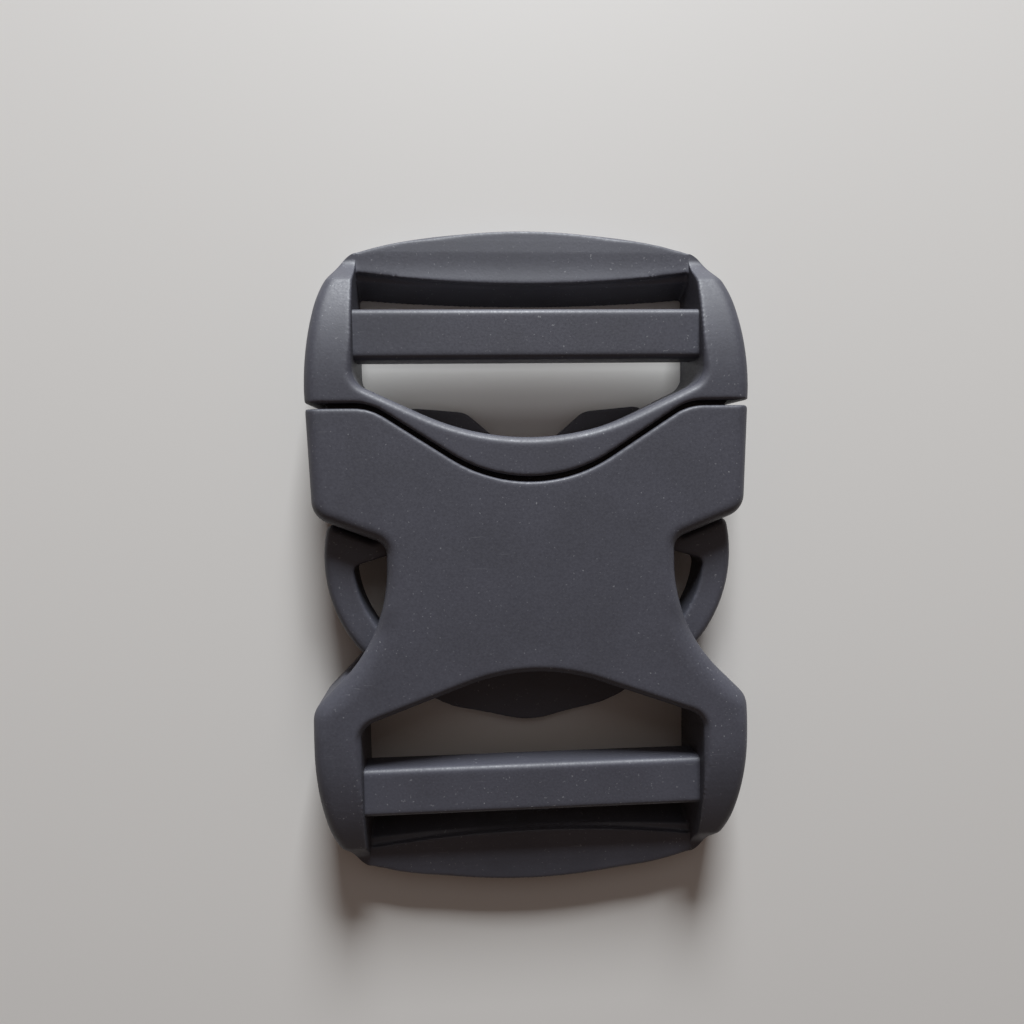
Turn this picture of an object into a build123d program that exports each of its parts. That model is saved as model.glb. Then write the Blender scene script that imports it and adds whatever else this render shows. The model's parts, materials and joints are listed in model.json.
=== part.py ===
import os
from math import sqrt

from build123d import *

# Side-release buckle with a strap frame at each end. X is across the strap, +Y points to the
# plug's end, +Z is up, and the origin is at the middle of the underside. Millimetres.

# Strap and outer size
strap_width = 50.0  # webbing the buckle is made for
strap_side_gap = 1.0  # free room beside the webbing, each side
rail_width = 7.1  # side rail of the strap frames
rail_bend_inset = 1.3  # the rail's side leans in this much, then turns in to the bowed end
rail_bend_y = 38.9
rail_tip_width = 0.8  # rail left at the bowed end
rail_tip_radius = 4.0
end_radius = 89.0  # bow of both ends, seen from above
body_height = 13.4
level_half_length = 27.0  # the top is level this far each way, then falls in an arc
end_height = 3.4  # height that the arc falls to at the very end
top_round = 2.0  # rounding of the outer top edges
foot_round = 0.6  # rounding of the outer bottom edges

# Side outline of the socket
shoulder_inset = 0.7  # the side leans in this much down to the shoulder
shoulder_y = 8.1
shoulder_radius = 3.5
waist_depth = 11.4  # from the side to the waist
waist_top_y = 3.9
waist_top_radius = 2.2
waist_low_y = -9.4
waist_low_radius = 24.0
flank_foot_radius = 3.5
rail_lead = 5.6  # straight side between the flank and the curve of the rail

# Parting line between plug and socket: level at the sides, V-shaped in the middle
split_gap = 0.8
split_side_y = 24.3
split_depth = 15.2
split_bend_inset = 2.5
split_bend_radius = 8.0
split_apex_radius = 22.0

# Strap frames, from the buckle's middle outwards
yoke_side_width = 3.4
plug_window_depth = 12.1
plug_window_apex_radius = 38.0
plug_inner_slot = 3.55
plug_outer_slot = 4.65
socket_window_corner_y = 23.3
socket_window_depth = 9.46
socket_window_apex_radius = 29.0
socket_outer_slot = 5.35
window_corner_radius = 3.0
window_bevel = 0.8  # of the windows' top edges, until the rails' tops fall below it
crossbar_width = 7.5
crossbar_drop = 2.8  # crossbar's top below the body's
crossbar_foot = 4.6
crossbar_round = 0.9
end_bar_width = 8.8
end_bar_bow = 1.9
end_bar_height = 5.6  # top of the bar at its inner edge
end_bar_fall = 0.08  # slope of the bar's top, outwards
toe_height = 4.5
toe_step = 0.4  # ledge between the end bar's top and its toe
toe_reach = 2.1  # the toe leans in this much down to its foot
toe_bow = 1.1

# Hollow of the socket
floor_thickness = 2.2
roof_thickness = 2.4
inner_wall = 2.8
side_wall = 2.6
catch_depth = 2.1  # how far the catches that the pads hook behind stand in from the side walls
mouth_lip_inset = 1.1  # from the waist's width
mouth_lip_reach = 0.7  # the floor's front edge stands out past the parting line
mouth_lip_slope = 1.0
mouth_lip_radius = 3.0
notch_half_width = 9.6
notch_foot_half_width = 3.9
notch_foot_depth = 5.9
notch_depth = 8.0
plate_reach = 3.0  # the floor reaches this far past the corners of the socket's strap window
plate_radius = 32.0

# Plug's base, guide tongue and the ribs that guide it
slide_gap = 0.4  # plug to socket, up and down and sideways
base_half_width = 15.0
base_length = 10.0
tongue_half_width = 6.0
tongue_tip_gap = 1.5
tongue_tip_width = 3.2
rib_gap = 0.5
rib_width = 1.5
rib_height = 3.0
rib_end_gap = 1.2

# Latch arms
arm_floor_gap = 1.0
arm_roof_gap = 1.6
arm_root_depth = 4.8  # from the parting line's level sides to the arms' roots
arm_root_inset = 6.3  # from the catch's inner face to the root's middle
arm_root_radius = 2.2
arm_root_gap = 0.3
arm_corner_radius = 0.9
neck_inset = 5.7  # from the catch's inner face to the outer side of the spring
leg_inset = 10.6  # from the catch's inner face to the inner side of the leg
leg_thickness = 2.6
latch_gap = 0.4
latch_hold = 3.05  # the pads stand out this much past the catches' inner faces
pad_radius = 22.0
pad_centre_y = 1.5
pad_band = 4.5
pad_round = 1.3
pad_tip_y = -16.0
pad_tip_gap = 1.0
pad_opening_top_y = 2.4
pad_opening_slope = -0.3
pad_opening_radius = 1.2

# Worked out from the above
slot_x = strap_width / 2 + strap_side_gap
body_x = slot_x + rail_width
rail_bend_x = body_x - rail_bend_inset
rail_end_x = slot_x + rail_tip_width
shoulder_x = body_x - shoulder_inset
waist_x = body_x - waist_depth
flank_foot_y = waist_low_y - waist_depth
rail_start = rail_lead - flank_foot_y
split_bend_x = slot_x - split_bend_inset
split_apex_y = split_side_y - split_depth
plug_window_corner_y = split_side_y + yoke_side_width
plug_window_apex_y = plug_window_corner_y - plug_window_depth
plug_crossbar_y = plug_window_corner_y + plug_inner_slot + crossbar_width / 2
end_bar_inner_y = plug_crossbar_y + crossbar_width / 2 + plug_outer_slot
half_length = end_bar_inner_y + end_bar_width
socket_window_apex_y = socket_window_corner_y - socket_window_depth
socket_crossbar_y = end_bar_inner_y - socket_outer_slot - crossbar_width / 2
crossbar_top = body_height - crossbar_drop
toe_top_y = end_bar_inner_y - toe_step
ceiling = body_height - roof_thickness
mouth_half_width = body_x - side_wall
catch_x = mouth_half_width - catch_depth
mouth_lip_x = waist_x - mouth_lip_inset
mouth_lip_y = split_side_y + mouth_lip_reach
window_low_y = pad_tip_y - pad_tip_gap
hollow_back_y = inner_wall - socket_window_apex_y
arm_low = floor_thickness + arm_floor_gap
arm_high = ceiling - arm_roof_gap
arm_root_x = catch_x - arm_root_inset
arm_root_y = split_side_y - arm_root_depth
neck_x = catch_x - neck_inset
leg_x = catch_x - leg_inset
pad_centre_x = catch_x + latch_hold - pad_radius
base_low_y = arm_root_y - base_length
tongue_tip_y = hollow_back_y + tongue_tip_gap
shoulder_slope = (shoulder_y - waist_top_y) / (shoulder_x - waist_x)
tall = 3 * body_height  # longer than any cut needs
wide = 2 * body_x
os.makedirs("parts", exist_ok=True)


def shoulder_line(x):
    """Y of the latch shoulder's wall at x."""
    return waist_top_y + shoulder_slope * (x - waist_x)


def end_line(x):
    """Y of the bowed end at x."""
    return half_length - end_radius + sqrt(end_radius**2 - x**2)


def body_outline():
    """Outline of the closed buckle from above."""
    rail_end_y = end_line(rail_end_x)
    with BuildSketch() as outline:
        with BuildLine():
            ThreePointArc((0, half_length), (rail_end_x / 2, end_line(rail_end_x / 2)), (rail_end_x, rail_end_y))
            rail = TangentArc((body_x, rail_start), (rail_bend_x, rail_bend_y), tangent=(0, 1))
            TangentArc(rail @ 1, (rail_end_x, rail_end_y), tangent=rail % 1)
            FilletPolyline(
                (body_x, rail_start),
                (shoulder_x, shoulder_y),
                (waist_x, waist_top_y),
                (waist_x, waist_low_y),
                (body_x, flank_foot_y),
                (body_x, -rail_start),
                radius=[shoulder_radius, waist_top_radius, waist_low_radius, flank_foot_radius],
            )
            rail = TangentArc((body_x, -rail_start), (rail_bend_x, -rail_bend_y), tangent=(0, -1))
            TangentArc(rail @ 1, (rail_end_x, -rail_end_y), tangent=rail % 1)
            ThreePointArc((0, -half_length), (rail_end_x / 2, -end_line(rail_end_x / 2)), (rail_end_x, -rail_end_y))
            mirror(about=Plane.YZ)
        make_face()
        tips = outline.vertices().filter_by(lambda v: abs(abs(v.Y) - rail_end_y) < 0.01)
        fillet(tips, rail_tip_radius)
    return outline.sketch


def body():
    """The closed buckle's outer shape, solid, in the open part."""
    extrude(body_outline(), amount=body_height)
    fillet(faces().sort_by(Axis.Z)[0].edges(), foot_round)
    with BuildSketch(Plane.YZ) as above:
        with BuildLine():
            arc = TangentArc((level_half_length, body_height), (half_length, end_height), tangent=(1, 0))
            Polyline(arc @ 1, (wide, end_height), (wide, tall), (0, tall), (0, body_height), arc @ 0)
            mirror(about=Plane.YZ)
        make_face()
    extrude(above.sketch, amount=wide, both=True, mode=Mode.SUBTRACT)
    rim = edges().filter_by(lambda e: e.center().Z > end_height / 2)
    rim = rim.filter_by(lambda e: abs(e.tangent_at(0.5).Z) < 0.9 and abs(e.tangent_at(0.5).X) < 0.99)
    fillet(rim, top_round)


def plug_side(shift):
    """Plan of everything on the plug's side of the parting line, moved along Y by shift."""
    with BuildSketch() as region:
        with BuildLine():
            line = FilletPolyline(
                (-wide, split_side_y + shift),
                (-split_bend_x, split_side_y + shift),
                (0, split_apex_y + shift),
                (split_bend_x, split_side_y + shift),
                (wide, split_side_y + shift),
                radius=[split_bend_radius, split_apex_radius, split_bend_radius],
            )
            Polyline(line @ 1, (wide, 2 * half_length), (-wide, 2 * half_length), line @ 0)
        make_face()
    return region.sketch


def strap_window(end, corner_y, apex_y, apex_radius):
    """Plan of a frame's opening, crossbar left out. end is 1 at the plug's end and -1 at the socket's."""
    bar_side_y = end * (end_bar_inner_y + end_bar_bow)
    with BuildSketch() as window:
        with BuildLine():
            edge = FilletPolyline(
                (-slot_x, bar_side_y),
                (-slot_x, end * corner_y),
                (0, end * apex_y),
                (slot_x, end * corner_y),
                (slot_x, bar_side_y),
                radius=[window_corner_radius, apex_radius, window_corner_radius],
            )
            ThreePointArc(edge @ 1, (0, end * end_bar_inner_y), edge @ 0)
        make_face()
    return window.sketch


def open_frame(end, window):
    """Cuts a strap frame's opening in the open part, bevels its rim and slopes its end bar."""
    extrude(window, amount=tall, mode=Mode.SUBTRACT)
    with BuildSketch(Plane.XY.offset(body_height)) as rim:
        add(window)
        offset(amount=window_bevel)
    extrude(rim.sketch, amount=-window_bevel, taper=45, mode=Mode.SUBTRACT)
    near, far = end_bar_inner_y - window_bevel, half_length + window_bevel
    with BuildSketch(Plane.YZ) as above_bar:
        with BuildLine():
            Polyline(
                (end * near, end_bar_height + end_bar_fall * (end_bar_inner_y - near)),
                (end * far, end_bar_height - end_bar_fall * (far - end_bar_inner_y)),
                (end * far, tall),
                (end * near, tall),
                close=True,
            )
        make_face()
    extrude(above_bar.sketch, amount=slot_x, both=True, mode=Mode.SUBTRACT)


def toe_section(end, height, inner_y):
    """Plan of the end bar's toe at a height, from its bowed inner edge to inside the bar."""
    deep_y = end * (end_bar_inner_y + end_bar_bow)
    side_y = end * (inner_y + toe_bow)
    with BuildSketch(Plane.XY.offset(height)) as section:
        with BuildLine():
            bow = ThreePointArc((-slot_x, side_y), (0, end * inner_y), (slot_x, side_y))
            Polyline(bow @ 1, (slot_x, deep_y), (-slot_x, deep_y), bow @ 0)
        make_face()
    return section.sketch


def add_toe(end):
    """The end bar's inner face leans in towards its foot, so the strap bends over it gently."""
    loft([toe_section(end, 0, toe_top_y - toe_reach).face(), toe_section(end, toe_height, toe_top_y).face()])


def hollow_plan():
    """Plan of the socket's hollow: the mouth, the way past both catches, and the side windows."""
    slope = socket_window_depth / slot_x
    with BuildSketch() as hollow:
        with BuildLine():
            Polyline(
                (0, half_length),
                (mouth_half_width, half_length),
                (mouth_half_width, shoulder_line(mouth_half_width) + inner_wall),
                (catch_x, shoulder_line(catch_x) + inner_wall),
                (catch_x, shoulder_line(catch_x)),
                (wide, shoulder_line(wide)),
                (wide, window_low_y),
                ((hollow_back_y - window_low_y) / slope, window_low_y),
                (0, hollow_back_y),
            )
            mirror(about=Plane.YZ)
        make_face()
        apex = hollow.vertices().filter_by(lambda v: abs(v.X) < 0.01 and abs(v.Y - hollow_back_y) < 0.01)
        fillet(apex, socket_window_apex_radius + inner_wall)
    return hollow.sketch


def mouth_lip():
    """Plan of the floor's front edge, which reaches out under the plug's yoke, with a notch in its middle."""
    notch_y = mouth_lip_y - notch_depth
    with BuildSketch() as lip:
        with BuildLine():
            Polyline(
                (0, notch_y),
                (notch_foot_half_width, notch_y),
                (notch_foot_half_width, mouth_lip_y - notch_foot_depth),
                (notch_half_width, mouth_lip_y - mouth_lip_slope),
                (mouth_lip_x, mouth_lip_y),
                (mouth_lip_x, split_apex_y),
                (0, split_apex_y),
            )
            mirror(about=Plane.YZ)
        make_face()
        corners = lip.vertices().filter_by(lambda v: v.Y > notch_y + 1)
        fillet(corners, mouth_lip_radius)
    return lip.sketch


def crossbar(end, middle_y):
    """Fixed bar across a strap frame, in the open part."""
    with BuildSketch(Plane.YZ) as section:
        with Locations((end * middle_y, (crossbar_top + crossbar_foot) / 2)):
            RectangleRounded(crossbar_width, crossbar_top - crossbar_foot, crossbar_round)
    extrude(section.sketch, amount=slot_x, both=True)


def pad_edge_x(y):
    """X of the release pad's outer arc at y."""
    return pad_centre_x + sqrt(pad_radius**2 - (y - pad_centre_y) ** 2)


def arm_outline():
    """Plan of the latch arm on the +X side: rounded root, spring, latch face, pad and leg."""
    start_y = shoulder_line(0) - latch_gap
    a = 1 + shoulder_slope**2
    b = shoulder_slope * (start_y - pad_centre_y) - pad_centre_x
    c = pad_centre_x**2 + (start_y - pad_centre_y) ** 2 - pad_radius**2
    latch_x = (sqrt(b**2 - a * c) - b) / a
    latch_y = shoulder_line(latch_x) - latch_gap
    root_in = (arm_root_x - arm_root_radius, arm_root_y)
    root_out = (arm_root_x + arm_root_radius, arm_root_y)
    with BuildSketch() as outline:
        with BuildLine():
            ThreePointArc(root_in, (arm_root_x, arm_root_y + arm_root_radius), root_out)
            Polyline(root_out, (neck_x, shoulder_line(neck_x) - latch_gap), (latch_x, latch_y))
            ThreePointArc((latch_x, latch_y), (pad_edge_x(pad_centre_y), pad_centre_y),
                          (pad_edge_x(pad_tip_y), pad_tip_y))
            Polyline((pad_edge_x(pad_tip_y), pad_tip_y), (leg_x, pad_tip_y), (leg_x, pad_opening_top_y), root_in)
        make_face()
        corners = outline.vertices().filter_by(lambda v: v.Y < arm_root_y - 1)
        fillet(corners, arm_corner_radius)
        with BuildSketch(mode=Mode.PRIVATE) as opening:
            with BuildLine():
                side_x = leg_x + leg_thickness
                Polyline(
                    (side_x, pad_opening_top_y),
                    (wide, pad_opening_top_y + pad_opening_slope * (wide - side_x)),
                    (wide, -wide),
                    (side_x, -wide),
                    close=True,
                )
            make_face()
            with Locations((pad_centre_x, pad_centre_y)):
                Circle(pad_radius - pad_band, mode=Mode.INTERSECT)
            fillet(opening.vertices(), pad_opening_radius)
        add(opening.sketch, mode=Mode.SUBTRACT)
    return outline.sketch


def latch_arm(outline):
    """One latch arm in the open part."""
    extrude(outline, amount=arm_high - arm_low)
    pad_rim = edges().filter_by(GeomType.CIRCLE).filter_by(lambda e: abs(e.radius - pad_radius) < 0.01)
    fillet(pad_rim, pad_round)


with BuildPart() as plug_frame:
    body()
    extrude(plug_side(split_gap / 2), amount=body_height, mode=Mode.INTERSECT)
    with BuildSketch(Plane.XY.offset(floor_thickness + slide_gap)) as base:
        with BuildLine():
            Polyline(
                (0, base_low_y),
                (base_half_width, base_low_y),
                (arm_root_x - arm_root_radius - 2 * arm_root_gap, arm_root_y),
                (mouth_half_width - slide_gap, arm_root_y),
                (mouth_half_width - slide_gap, split_side_y + split_gap),
                (0, split_side_y + split_gap),
            )
            mirror(about=Plane.YZ)
        make_face()
        with Locations((arm_root_x, arm_root_y), (-arm_root_x, arm_root_y)):
            Circle(arm_root_radius + arm_root_gap, mode=Mode.SUBTRACT)
    extrude(base.sketch, amount=ceiling - floor_thickness - 2 * slide_gap)
    with BuildSketch() as lip_room:
        Rectangle(2 * (mouth_lip_x + slide_gap), 2 * (mouth_lip_y + slide_gap))
    extrude(lip_room.sketch, amount=floor_thickness + slide_gap, mode=Mode.SUBTRACT)
    plug_window = strap_window(1, plug_window_corner_y, plug_window_apex_y, plug_window_apex_radius)
    open_frame(1, plug_window)
    add_toe(1)
plug_frame.part.label = "plug_frame"
export_step(plug_frame.part, "parts/plug_frame.step")

with BuildPart() as plug_crossbar:
    crossbar(1, plug_crossbar_y)
plug_crossbar.part.label = "plug_crossbar"
export_step(plug_crossbar.part, "parts/plug_crossbar.step")

with BuildPart() as plug_guide_tongue:
    with BuildSketch(Plane.XY.offset(arm_low)) as tongue:
        with BuildLine():
            Polyline(
                (0, base_low_y),
                (tongue_half_width, base_low_y),
                (tongue_half_width, tongue_tip_y + tongue_tip_width),
                (tongue_tip_width, tongue_tip_y),
                (0, tongue_tip_y),
            )
            mirror(about=Plane.YZ)
        make_face()
        tip = tongue.vertices().filter_by(lambda v: v.Y < base_low_y and abs(v.X) > 0.01)
        fillet(tip, arm_corner_radius)
    extrude(amount=arm_high - arm_low)
plug_guide_tongue.part.label = "plug_guide_tongue"
export_step(plug_guide_tongue.part, "parts/plug_guide_tongue.step")

right_arm_plan = Plane.XY.offset(arm_low) * arm_outline()
with BuildPart() as right_latch_arm:
    latch_arm(right_arm_plan)
right_latch_arm.part.label = "right_latch_arm"
export_step(right_latch_arm.part, "parts/right_latch_arm.step")

with BuildPart() as left_latch_arm:
    latch_arm(right_arm_plan.mirror(Plane.YZ))
left_latch_arm.part.label = "left_latch_arm"
export_step(left_latch_arm.part, "parts/left_latch_arm.step")

with BuildPart() as socket_housing:
    body()
    extrude(plug_side(-split_gap / 2), amount=body_height, mode=Mode.SUBTRACT)
    extrude(Plane.XY.offset(floor_thickness) * hollow_plan(), amount=ceiling - floor_thickness, mode=Mode.SUBTRACT)
    socket_window = strap_window(-1, socket_window_corner_y, socket_window_apex_y, socket_window_apex_radius)
    open_frame(-1, socket_window)
    add_toe(-1)
    extrude(mouth_lip(), amount=floor_thickness)
    with BuildSketch() as plate:
        with Locations((0, plate_radius - plate_reach - socket_window_corner_y)):
            Circle(plate_radius)
        add(socket_window, mode=Mode.INTERSECT)
    extrude(plate.sketch, amount=floor_thickness)
socket_housing.part.label = "socket_housing"
export_step(socket_housing.part, "parts/socket_housing.step")

with BuildPart() as socket_crossbar:
    crossbar(-1, socket_crossbar_y)
socket_crossbar.part.label = "socket_crossbar"
export_step(socket_crossbar.part, "parts/socket_crossbar.step")

with BuildPart() as socket_guide_ribs:
    rib_x = tongue_half_width + rib_gap + rib_width / 2
    rib_y = (base_low_y + tongue_tip_y) / 2
    with BuildSketch(Plane.XY.offset(floor_thickness)):
        with Locations((rib_x, rib_y), (-rib_x, rib_y)):
            SlotOverall(base_low_y - tongue_tip_y - 2 * rib_end_gap, rib_width, rotation=90)
    extrude(amount=rib_height)
socket_guide_ribs.part.label = "socket_guide_ribs"
export_step(socket_guide_ribs.part, "parts/socket_guide_ribs.step")
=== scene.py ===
import json
import math

import bmesh
import bpy
import numpy as np
from mathutils import Matrix, Vector


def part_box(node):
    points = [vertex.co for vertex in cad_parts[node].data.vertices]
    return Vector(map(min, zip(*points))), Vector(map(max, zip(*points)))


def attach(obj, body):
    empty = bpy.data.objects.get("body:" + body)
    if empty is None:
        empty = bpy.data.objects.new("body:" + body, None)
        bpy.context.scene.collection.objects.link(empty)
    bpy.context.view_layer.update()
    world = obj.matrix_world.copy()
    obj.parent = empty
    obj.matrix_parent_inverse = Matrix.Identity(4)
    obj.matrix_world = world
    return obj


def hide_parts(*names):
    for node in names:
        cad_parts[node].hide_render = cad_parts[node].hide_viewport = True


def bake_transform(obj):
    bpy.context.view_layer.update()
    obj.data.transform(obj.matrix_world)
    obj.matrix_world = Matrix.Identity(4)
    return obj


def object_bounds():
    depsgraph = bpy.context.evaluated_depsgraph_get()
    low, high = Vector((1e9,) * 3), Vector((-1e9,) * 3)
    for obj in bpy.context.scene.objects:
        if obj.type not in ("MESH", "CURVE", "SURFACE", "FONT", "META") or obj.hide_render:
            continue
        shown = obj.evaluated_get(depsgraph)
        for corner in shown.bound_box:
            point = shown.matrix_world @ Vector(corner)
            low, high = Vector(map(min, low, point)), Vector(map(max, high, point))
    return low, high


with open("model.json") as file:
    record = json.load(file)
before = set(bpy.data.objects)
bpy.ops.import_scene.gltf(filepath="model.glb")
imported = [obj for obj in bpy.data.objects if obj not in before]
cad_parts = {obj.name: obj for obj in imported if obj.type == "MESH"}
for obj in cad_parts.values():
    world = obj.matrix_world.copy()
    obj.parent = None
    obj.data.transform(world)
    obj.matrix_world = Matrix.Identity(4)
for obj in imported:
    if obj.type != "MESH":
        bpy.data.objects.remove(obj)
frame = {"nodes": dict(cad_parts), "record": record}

mm = 0.001
scene = bpy.context.scene
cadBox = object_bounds()


# shader helper
class Wire:
    # a socket in a material's node tree; an expression on wires adds its Math nodes
    def __init__(self, tree, socket=None):
        self.tree = tree
        self.socket = socket

    def node(self, kind, settings=(), inputs=(), output=0):
        made = self.tree.nodes.new(kind)
        for key, value in dict(settings).items():
            if key == "stops":
                made.color_ramp.elements[1].position = value[-1][0]
                for place, shade in value[1:-1]:
                    made.color_ramp.elements.new(place)
                for element, (place, shade) in zip(made.color_ramp.elements, value):
                    element.position = place
                    element.color = (shade, shade, shade, 1)
            else:
                setattr(made, key, value)
        for key, value in dict(inputs).items():
            if isinstance(value, Wire):
                self.tree.links.new(value.socket, made.inputs[key])
            else:
                made.inputs[key].default_value = value
        return Wire(self.tree, made.outputs[output] if made.outputs else None)

    def math(self, operation, first, second):
        return self.node("ShaderNodeMath", {"operation": operation}, {0: first, 1: second})

    def __add__(self, other):
        return self.math("ADD", self, other)

    def __radd__(self, other):
        return self.math("ADD", other, self)

    def __sub__(self, other):
        return self.math("SUBTRACT", self, other)

    def __rsub__(self, other):
        return self.math("SUBTRACT", other, self)

    def __mul__(self, other):
        return self.math("MULTIPLY", self, other)

    def __rmul__(self, other):
        return self.math("MULTIPLY", other, self)


def mixColour(amount, dark, light):
    # the colour sockets of a Mix node are 6 and 7, its colour output is 2
    return amount.node("ShaderNodeMix", {"data_type": "RGBA"}, {0: amount, 6: dark, 7: light}, output=2)


def ramp(amount, *stops):
    return amount.node("ShaderNodeValToRGB", {"stops": stops}, {0: amount})


# moulded plastic
plastic = {
    "colour": (0.0520, 0.0530, 0.0670, 1),
    # colour of the painted glints and of the real scratches
    "glintAndScratchColour": (0.22, 0.225, 0.24, 1),
    "gloss": 1.56,                # refractive index
    "roughness": 0.55,
    "roughnessSpread": 0.30,      # how far the grain changes the roughness
    "paler": 1.35,                # the palest shade, as a multiple of the colour
    "patchSize": 9 * mm,          # broad patches of wear
    "grainSize": 0.36 * mm,       # spark-eroded grain of the mould
    "fineGrainSize": 0.15 * mm,
    "grainHeight": 0.011 * mm,
    "glintSize": 0.42 * mm,       # painted glints: bright points where the grain would catch the light
    "scratchWidth": 0.16 * mm,
    "scratchLength": 3.2 * mm,
    "scratchPatchSize": 14 * mm,  # scratches lie only in patches of this size
    "scratchStrength": 0.22,
}


def mouldedPlastic(name, look, seed):
    material = bpy.data.materials.new(name)
    material.use_nodes = True
    tree = material.node_tree
    tree.nodes.clear()
    start = Wire(tree)
    place = start.node("ShaderNodeTexCoord", output="Object")
    shifted = place.node("ShaderNodeMapping", inputs={"Vector": place, "Location": (seed, seed * 0.7, -seed)})

    def noise(size, detail=1.0, vector=shifted):
        settings = {"Vector": vector, "Scale": 1 / size, "Detail": detail}
        return start.node("ShaderNodeTexNoise", inputs=settings)

    coarse = noise(look["grainSize"], 2.0)
    fine = noise(look["fineGrainSize"])
    cells = shifted.node("ShaderNodeTexVoronoi", inputs={"Vector": shifted, "Scale": 1 / look["grainSize"]})
    grain = coarse * 0.8 + fine * 0.4 + cells * 0.3
    bump = grain.node("ShaderNodeBump", inputs={"Height": grain * look["grainHeight"], "Strength": 1.0,
                      "Distance": 1.0})
    patches = ramp(noise(look["patchSize"], 3.0), (0.36, 0.0), (0.62, 1.0))
    # painted highlight: sparse bright glints painted into the colour, gathered more in the wear patches
    paintedGlints = ramp(noise(look["glintSize"]), (0.70, 0.0), (0.79, 1.0)) * (0.25 + 0.75 * patches)
    stretched = place.node("ShaderNodeMapping", inputs={"Vector": place, "Rotation": (0, 0, 0.12 + seed),
                           "Scale": (look["scratchWidth"] / look["scratchLength"], 1.0, 1.0)})
    scratches = ramp(noise(look["scratchWidth"], 0.0, stretched), (0.77, 0.0), (0.83, 1.0))
    scratches = scratches * ramp(noise(look["scratchPatchSize"]), (0.56, 0.0), (0.66, 1.0))
    glintsAndScratches = paintedGlints + look["scratchStrength"] * scratches
    shade = mixColour(patches * 0.5 + (coarse - 0.5) * 1.2 + 0.2, look["colour"],
                      tuple(look["paler"] * part for part in look["colour"][:3]) + (1,))
    # mixes the painted glints and the real scratches into the colour
    colour = mixColour(glintsAndScratches.math("MINIMUM", glintsAndScratches, 1.0), shade, look["glintAndScratchColour"])
    rough = look["roughness"] + (coarse - 0.5) * look["roughnessSpread"] - 0.05 * patches
    shader = bump.node("ShaderNodeBsdfPrincipled", inputs={"Base Color": colour, "Roughness": rough,
                       "Normal": bump, "IOR": look["gloss"]})
    shader.node("ShaderNodeOutputMaterial", inputs={"Surface": shader})
    return material


socketPlastic = mouldedPlastic("socketPlastic", plastic, 0.11)
plugPlastic = mouldedPlastic("plugPlastic", plastic, 0.53)
print("materials made")


# mesh helpers
meshLook = {
    "cell": 0.22 * mm,           # size of the grid that the mouldings are remade on
    "quickCell": 0.5 * mm,
    "turn": 0.31,                # the grid lies askew, so that straight edges don't come out stepped
    "softening": 6,              # smoothing passes, each takes a little more off the edges
    "faces": 190000,             # most triangles in one piece
    "weld": 0.0005 * mm,         # points nearer than this are one point
}


def copyNode(name):
    # a CAD node's own triangles, closed up, in the object's frame
    node = frame["nodes"][name]
    builder = bmesh.new()
    builder.from_mesh(node.data)
    bmesh.ops.transform(builder, matrix=node.matrix_world, verts=builder.verts)
    bmesh.ops.remove_doubles(builder, verts=builder.verts, dist=meshLook["weld"])
    return builder


def meshObject(name, mesh):
    made = bpy.data.objects.new(name, mesh)
    scene.collection.objects.link(made)
    return made


def withModifier(source, kind, **settings):
    # the mesh that one modifier makes of an object
    modifier = source.modifiers.new(kind, kind)
    for key, value in settings.items():
        setattr(modifier, key, value)
    graph = bpy.context.evaluated_depsgraph_get()
    graph.update()
    mesh = bpy.data.meshes.new_from_object(source.evaluated_get(graph), depsgraph=graph)
    source.modifiers.clear()
    return mesh


def points(mesh):
    found = np.empty(len(mesh.vertices) * 3)
    mesh.vertices.foreach_get("co", found)
    return found.reshape(-1, 3)


def movePoints(mesh, moved):
    mesh.vertices.foreach_set("co", moved.astype(np.float32).ravel())
    mesh.update()


def soften(mesh, passes):
    # pulls each point halfway to the mean of its neighbours
    ends = np.empty(len(mesh.edges) * 2, dtype=np.int64)
    mesh.edges.foreach_get("vertices", ends)
    first, second = ends.reshape(-1, 2).T
    count = np.bincount(ends, minlength=len(mesh.vertices))[:, None]
    place = points(mesh)
    for _ in range(passes):
        total = np.empty_like(place)
        for axis in range(3):
            total[:, axis] = (np.bincount(first, place[second, axis], len(place))
                              + np.bincount(second, place[first, axis], len(place)))
        place = 0.5 * place + 0.5 * total / count
    movePoints(mesh, place)


def mould(name, builder, shape=None):
    # closed rough solid -> even mesh with soft edges, shaped point by point
    rough = bpy.data.meshes.new(name)
    bmesh.ops.rotate(builder, matrix=Matrix.Rotation(meshLook["turn"], 3, "Z"), verts=builder.verts)
    builder.to_mesh(rough)
    builder.free()
    made = meshObject(name, rough)
    cell = meshLook["cell"]
    even = withModifier(made, "REMESH", mode="VOXEL", voxel_size=cell, adaptivity=0.0)
    made.data = even
    soften(even, meshLook["softening"])
    even.transform(Matrix.Rotation(-meshLook["turn"], 4, "Z"))
    if shape:
        movePoints(even, shape(points(even)))
    triangles = 2 * len(even.polygons)
    if triangles > meshLook["faces"]:
        made.data = withModifier(made, "DECIMATE", ratio=meshLook["faces"] / triangles)
    made.data.name = name
    made.data.polygons.foreach_set("use_smooth", [True] * len(made.data.polygons))
    made.data.update()
    print(name, "has", len(made.data.polygons), "faces")
    return made


def finishPiece(piece, material, slotName, *nodes):
    piece.data.materials.clear()
    piece.data.materials.append(material)
    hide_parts(*nodes)


# socket and plug
barReach = 1.05      # the crossbars run a little way into the rails

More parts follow.
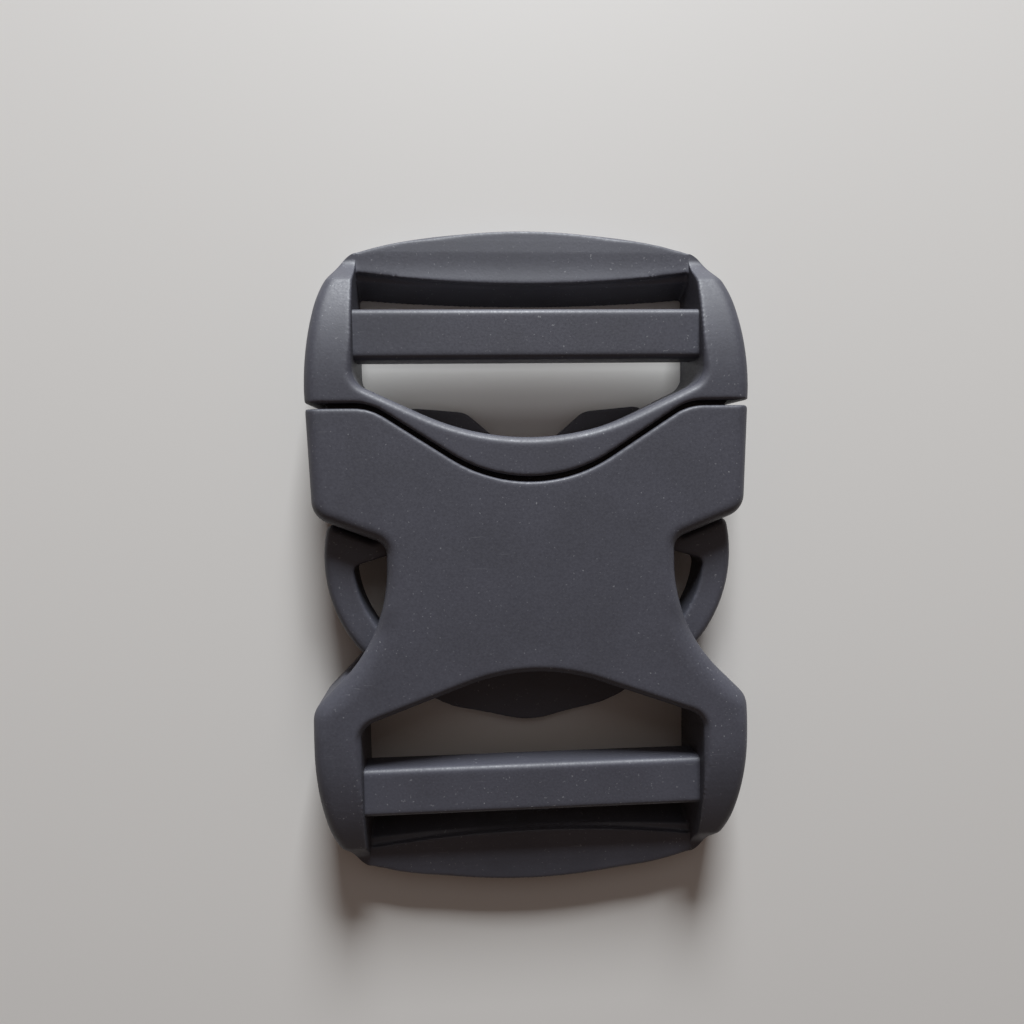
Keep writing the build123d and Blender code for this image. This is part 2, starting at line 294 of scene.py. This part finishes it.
endLook = {
    "bow": 89 * mm,             # radius of the bowed end, seen from above
    "inset": 0.42 * mm,         # the bar's level top stops this far short of the end
    "halfWidth": 26.6 * mm,
    "start": 5.2 * mm,          # from the end to where the level top is built up
    "top": 5.3 * mm,
    "fall": 0.08,
    "foot": 2 * mm,             # height at which the level top's block starts
    "leastDepth": 0.3 * mm,
    "columns": 49,
}
flankLook = {
    "width": 3.8 * mm,          # broad rounding of the socket's lower flanks
    "drop": 1.0 * mm,
    "depth": 2.4 * mm,          # only points this near the top are lowered
    "rowStep": 0.4 * mm,        # the outline is found in rows of this width
    "from": -25 * mm,
    "fullFrom": -20 * mm,
    "fullTo": -10 * mm,
    "to": -5 * mm,
}


def stretchedAlongX(builder, factor):
    bmesh.ops.scale(builder, vec=(factor, 1, 1), verts=builder.verts)
    return builder


def levelEnd(builder, side, look):
    # fills the end bar's outer part up to a level top with a crisp outer edge
    halfLength = cadBox[1].y
    columns = []
    for x in np.linspace(-look["halfWidth"], look["halfWidth"], look["columns"]):
        outer = halfLength - look["bow"] + math.sqrt(look["bow"] ** 2 - x ** 2) - look["inset"]
        inner = min(halfLength - look["start"], outer - look["leastDepth"])
        top = look["top"] + look["fall"] * (halfLength - look["start"] - outer)
        column = [(x, side * inner, look["foot"]), (x, side * outer, look["foot"]),
                  (x, side * outer, top), (x, side * inner, look["top"])]
        columns.append([builder.verts.new(place) for place in column])
    for near, far in zip(columns, columns[1:]):
        for corner in range(4):
            following = (corner + 1) % 4
            builder.faces.new((near[corner], near[following], far[following], far[corner]))
    for column in (columns[0], columns[-1]):
        builder.faces.new(column)
    bmesh.ops.recalc_face_normals(builder, faces=builder.faces)
    return builder


def smoothStep(value, start, end):
    part = np.clip((value - start) / (end - start), 0, 1)
    return part * part * (3 - 2 * part)


def roundFlanks(place, look):
    # lowers the roof towards the flanks, by the distance to the outline seen from above
    ceiling = cadBox[1].z - look["depth"]
    upper = place[:, 2] > ceiling
    step = look["rowStep"]
    rows = np.floor((place[:, 1] - cadBox[0].y) / step).astype(int)
    edge = np.zeros(rows.max() + 2)
    np.maximum.at(edge, rows[upper], np.abs(place[upper, 0]))
    edge = np.convolve(np.pad(edge, 2, mode="edge"), np.ones(5) / 5, "valid")
    middles = cadBox[0].y + (np.arange(len(edge)) + 0.5) * step
    reach = np.interp(place[:, 1], middles, edge)
    slope = np.interp(place[:, 1], middles, np.gradient(edge, step))
    distance = np.clip((reach - np.abs(place[:, 0])) / np.sqrt(1 + slope ** 2), 0, look["width"])
    here = smoothStep(place[:, 1], look["from"], look["fullFrom"]) * (
        1 - smoothStep(place[:, 1], look["fullTo"], look["to"]))
    drop = look["drop"] * here * (1 - distance / look["width"]) ** 2
    share = np.clip((place[:, 2] - ceiling) / (cadBox[1].z - ceiling), 0, 1)
    moved = place.copy()
    moved[:, 2] -= drop * share
    return moved


tipLook = {
    "level": 5.2 * mm,          # the rails' tips come down to the end bar's top
    "from": 43.0 * mm,
    "to": 47.4 * mm,
}
plateLook = {
    "pull": 0.55 * mm,          # the floor plate's edge is a wide V, not a plain arc
    "halfWidth": 14 * mm,
    "from": 20.5 * mm,
    "to": 23.5 * mm,
    "fadeFrom": 28 * mm,
    "fadeTo": 32 * mm,
    "topFrom": 2.3 * mm,        # the plate's own thickness; what stands on it isn't moved
    "topTo": 2.9 * mm,
}


def lowerTips(place, look):
    keep = 1 - smoothStep(np.abs(place[:, 1]), look["from"], look["to"])
    moved = place.copy()
    above = np.maximum(place[:, 2] - look["level"], 0)
    moved[:, 2] -= above * (1 - keep)
    return moved


def sharpenPlate(place, look):
    across = np.clip(np.abs(place[:, 0]) / look["halfWidth"], 0, 1)
    floorPart = 1 - smoothStep(place[:, 2], look["topFrom"], look["topTo"])
    amount = smoothStep(-place[:, 1], look["from"], look["to"]) * floorPart
    amount *= 1 - smoothStep(-place[:, 1], look["fadeFrom"], look["fadeTo"])
    moved = place.copy()
    moved[:, 1] += look["pull"] * np.sin(math.pi * across) ** 2 * amount
    return moved


def shapeSocket(place):
    return sharpenPlate(lowerTips(roundFlanks(place, flankLook), tipLook), plateLook)


def shapePlug(place):
    return lowerTips(place, tipLook)


for pieceName, nodeName, body, material, slotName, builder, shape in (
    ("socketShell", "socket_housing", "socket", socketPlastic, "socket_plastic",
     levelEnd(copyNode("socket_housing"), -1, endLook), shapeSocket),
    ("socketBar", "socket_crossbar", "socket", socketPlastic, "socket_plastic",
     stretchedAlongX(copyNode("socket_crossbar"), barReach), None),
    ("guideRibs", "socket_guide_ribs", "socket", socketPlastic, "socket_plastic",
     copyNode("socket_guide_ribs"), None),
    ("plugShell", "plug_frame", "plug", plugPlastic, "plug_plastic",
     levelEnd(copyNode("plug_frame"), 1, endLook), shapePlug),
    ("plugBar", "plug_crossbar", "plug", plugPlastic, "plug_plastic",
     stretchedAlongX(copyNode("plug_crossbar"), barReach), None),
    ("guideTongue", "plug_guide_tongue", "plug", plugPlastic, "plug_plastic",
     copyNode("plug_guide_tongue"), None),
):
    piece = mould(pieceName, builder, shape)
    finishPiece(piece, material, slotName, nodeName)
    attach(piece, body)
print("socket and plug made")


# latch arms
armLook = {
    "rootPast": 3.2 * mm,     # the arm's root runs this far into the plug's base
    "rootWidth": 3.6 * mm,
    "rootShift": 0.2 * mm,    # the root block's middle, past the hinge
    "bendBefore": 1 * mm,     # the spring's bend starts this far on the plug's side of the hinge; the arm is not bent here
    "bendLength": 11.0 * mm,  # the spring bends over this length; the arm is not bent here
}


def latchArm(side, nodeName, body):
    low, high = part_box(nodeName)
    joints = frame["record"]["behaviour"]["joints"]
    hinge = next(joint for joint in joints if joint["child"] == body)["pos_m"]
    builder = copyNode(nodeName)
    root = bmesh.ops.create_cube(builder, size=1.0)["verts"]
    bmesh.ops.scale(builder, vec=(armLook["rootWidth"], 2 * armLook["rootPast"], high.z - low.z), verts=root)
    middle = (hinge[0], hinge[1] + armLook["rootShift"], (low.z + high.z) / 2)
    bmesh.ops.translate(builder, vec=middle, verts=root)
    piece = mould(side + "Arm", builder)
    finishPiece(piece, plugPlastic, "plug_plastic", nodeName)
    start = (hinge[0], hinge[1] + armLook["bendBefore"], hinge[2])
    hinge[1] - armLook["bendLength"]
    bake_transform(piece)


latchArm("left", "left_latch_arm", "left_arm")
latchArm("right", "right_latch_arm", "right_arm")
print("latch arms made")


# floor, light and camera
floorLook = {"colour": (0.66, 0.645, 0.62, 1), "size": 3.0, "roughness": 0.6}


def floorPlane(look):
    mesh = bpy.data.meshes.new("floor")
    builder = bmesh.new()
    bmesh.ops.create_grid(builder, x_segments=8, y_segments=8, size=look["size"] / 2)
    builder.to_mesh(mesh)
    builder.free()
    plane = meshObject("floor", mesh)
    material = bpy.data.materials.new("paleFloor")
    material.use_nodes = True
    shader = material.node_tree.nodes["Principled BSDF"]
    shader.inputs["Base Color"].default_value = look["colour"]
    shader.inputs["Roughness"].default_value = look["roughness"]
    mesh.materials.append(material)


lights = {
    "window": {"place": (0.05, 0.91, 0.41), "size": 0.28, "power": 17.0, "colour": (0.93, 0.965, 1.0)},
    "ceiling": {"place": (0.05, 0.60, 0.80), "size": 0.40, "power": 0.5, "colour": (0.93, 0.965, 1.0)},
}
room = {"colour": (1.0, 0.74, 0.62, 1), "strength": 0.11}


def areaLight(name, look):
    lamp = bpy.data.lights.new(name, "AREA")
    lamp.shape = "SQUARE"
    lamp.size = look["size"]
    lamp.energy = look["power"]
    lamp.color = look["colour"]
    holder = bpy.data.objects.new(name, lamp)
    holder.location = look["place"]
    holder.rotation_mode = "QUATERNION"
    holder.rotation_quaternion = (-Vector(look["place"])).to_track_quat("-Z", "Y")
    scene.collection.objects.link(holder)


def softRoom(look):
    world = bpy.data.worlds.new("softRoom")
    scene.world = world
    world.use_nodes = True
    background = world.node_tree.nodes["Background"]
    background.inputs["Color"].default_value = look["colour"]
    background.inputs["Strength"].default_value = look["strength"]


cameraLook = {
    "place": (-10.43 * mm, 14.70 * mm, 126.31 * mm),
    "tilt": (3.148, 3.738, 1.0676),     # degrees about X, Y, Z, from looking straight down
    "lens": 27.04,
}


def addCamera(look):
    lens = bpy.data.cameras.new("camera")
    lens.lens = look["lens"]
    lens.sensor_width = 36
    lens.clip_start = 0.005
    camera = bpy.data.objects.new("camera", lens)
    aboutX, aboutY, aboutZ = (math.radians(angle) for angle in look["tilt"])
    turn = Matrix.Rotation(aboutZ, 3, "Z") @ Matrix.Rotation(aboutY, 3, "Y") @ Matrix.Rotation(aboutX, 3, "X")
    camera.matrix_world = Matrix.Translation(look["place"]) @ turn.transposed().to_4x4()
    scene.collection.objects.link(camera)
    scene.camera = camera


floorPlane(floorLook)
for lightName, lightLook in lights.items():
    areaLight(lightName, lightLook)
softRoom(room)
addCamera(cameraLook)
scene.view_settings.view_transform = "Standard"
print("floor, light and camera placed")
